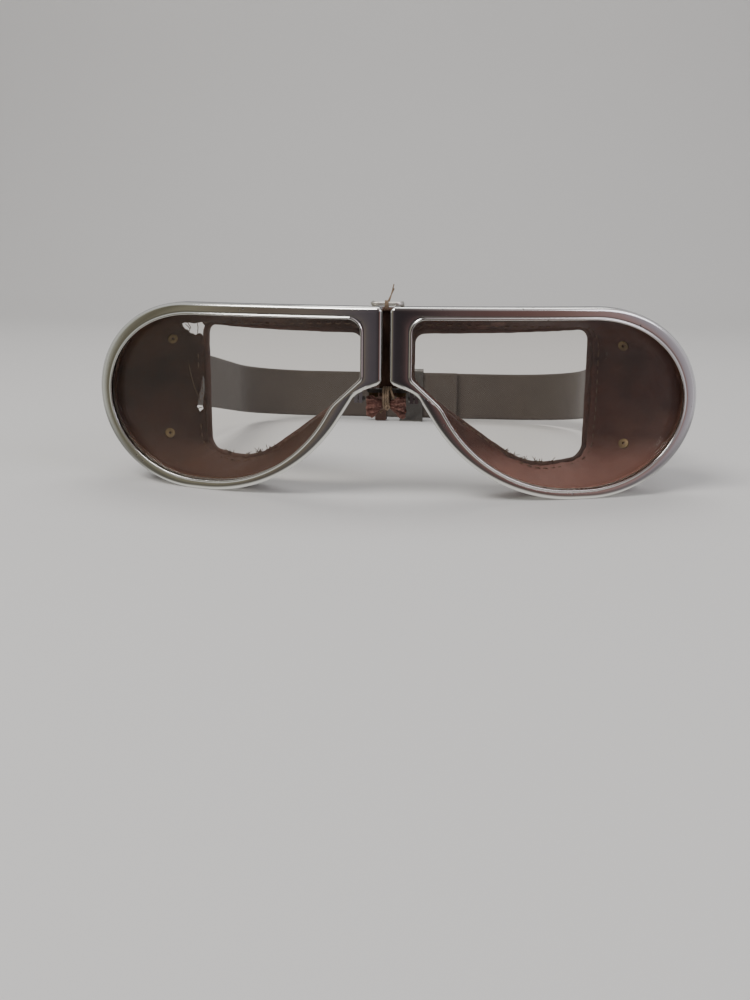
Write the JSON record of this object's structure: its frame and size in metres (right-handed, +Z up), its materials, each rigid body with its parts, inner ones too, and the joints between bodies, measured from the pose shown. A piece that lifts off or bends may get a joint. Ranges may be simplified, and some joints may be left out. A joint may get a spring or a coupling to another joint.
{
  "type": "driving goggles",
  "caption": "Flying and driving goggles with curved glass lenses in chromed frames, padded leather eye cups, a folding wire bridge with a nose roll, and an elastic head strap.",
  "frame": {"origin": "middle of the gap between the two frames, on their front surface, at the frames' mid height", "axes": "+X to the wearer's left, -Y the way the lenses look, +Z up"},
  "size_m": [0.1896, 0.1535, 0.0599],
  "materials": {
    "rim_chrome": "polished, lightly pitted",
    "nickel": "worn nickel plate",
    "steel": "plated wire and sheet",
    "rivet_brass": "dull brass",
    "lens_glass": "clear with a faint warm tint",
    "gasket_rubber": "matt",
    "cup_leather": "aged, cracked, red-brown",
    "edge_leather": "padded, worn",
    "tab_leather": "stiff, worn",
    "nose_leather": "crumpled, dry",
    "keeper_leather": "plain",
    "webbing": "woven elastic",
    "thread": "waxed twine"
  },
  "bodies": {
    "bridge": {"bridge_wire": "nickel", "lower_link": "steel", "pin_nuts": "rivet_brass", "bridge_backing": "nose_leather", "nose_pad": "nose_leather", "upper_lashing": "thread", "lower_lashing": "thread"},
    "left_frame": {"left_front_rim": "rim_chrome", "left_closing_screw": "steel", "left_lens_gasket": "gasket_rubber", "left_lens": "lens_glass", "left_back_rim": "nickel", "left_hinge_leaf": "steel", "left_eyecup": "cup_leather", "left_face_pad": "edge_leather", "left_strap_tab": "tab_leather", "left_tab_rivets": "rivet_brass"},
    "right_frame": {"right_front_rim": "rim_chrome", "right_closing_screw": "steel", "right_lens_gasket": "gasket_rubber", "right_lens": "lens_glass", "right_back_rim": "nickel", "right_hinge_leaf": "steel", "right_eyecup": "cup_leather", "right_face_pad": "edge_leather", "right_strap_tab": "tab_leather", "right_tab_rivets": "rivet_brass"},
    "left_strap_half": {"left_strap_ring": "steel", "left_strap": "webbing"},
    "right_strap_half": {"right_strap_ring": "steel", "right_strap": "webbing"},
    "slider": {"strap_slider": "steel"},
    "keeper": {"strap_keeper": "keeper_leather"}
  },
  "joints": [
    {"name": "left_fold", "type": "hinge", "parent": "bridge", "child": "left_frame", "pos_m": [0.0042, 0.0083, 0], "axis": [0, 0, 1], "range_deg": [-3, 12]},
    {"name": "right_fold", "type": "hinge", "parent": "bridge", "child": "right_frame", "pos_m": [-0.0042, 0.0083, 0], "axis": [0, 0, 1], "range_deg": [-12, 3]},
    {"name": "left_ring_swing", "type": "hinge", "parent": "left_frame", "child": "left_strap_half", "pos_m": [0.078, 0.05, 0], "axis": [0, 0, 1], "range_deg": [-12, 3]},
    {"name": "right_ring_swing", "type": "hinge", "parent": "right_frame", "child": "right_strap_half", "pos_m": [-0.078, 0.05, 0], "axis": [0, 0, 1], "range_deg": [-3, 12]},
    {"name": "slider_slide", "type": "slide", "parent": "left_strap_half", "child": "slider", "axis": [1, 0, 0], "range_m": [-0.003, 0.003]},
    {"name": "keeper_slide", "type": "slide", "parent": "left_strap_half", "child": "keeper", "axis": [1, 0, 0], "range_m": [-0.0015, 0.0015]}
  ],
  "couplings": [
    {"joint": "right_fold", "follows": "left_fold", "ratio": -1},
    {"joint": "left_ring_swing", "follows": "left_fold", "ratio": -1},
    {"joint": "right_ring_swing", "follows": "left_fold", "ratio": 1}
  ]
}
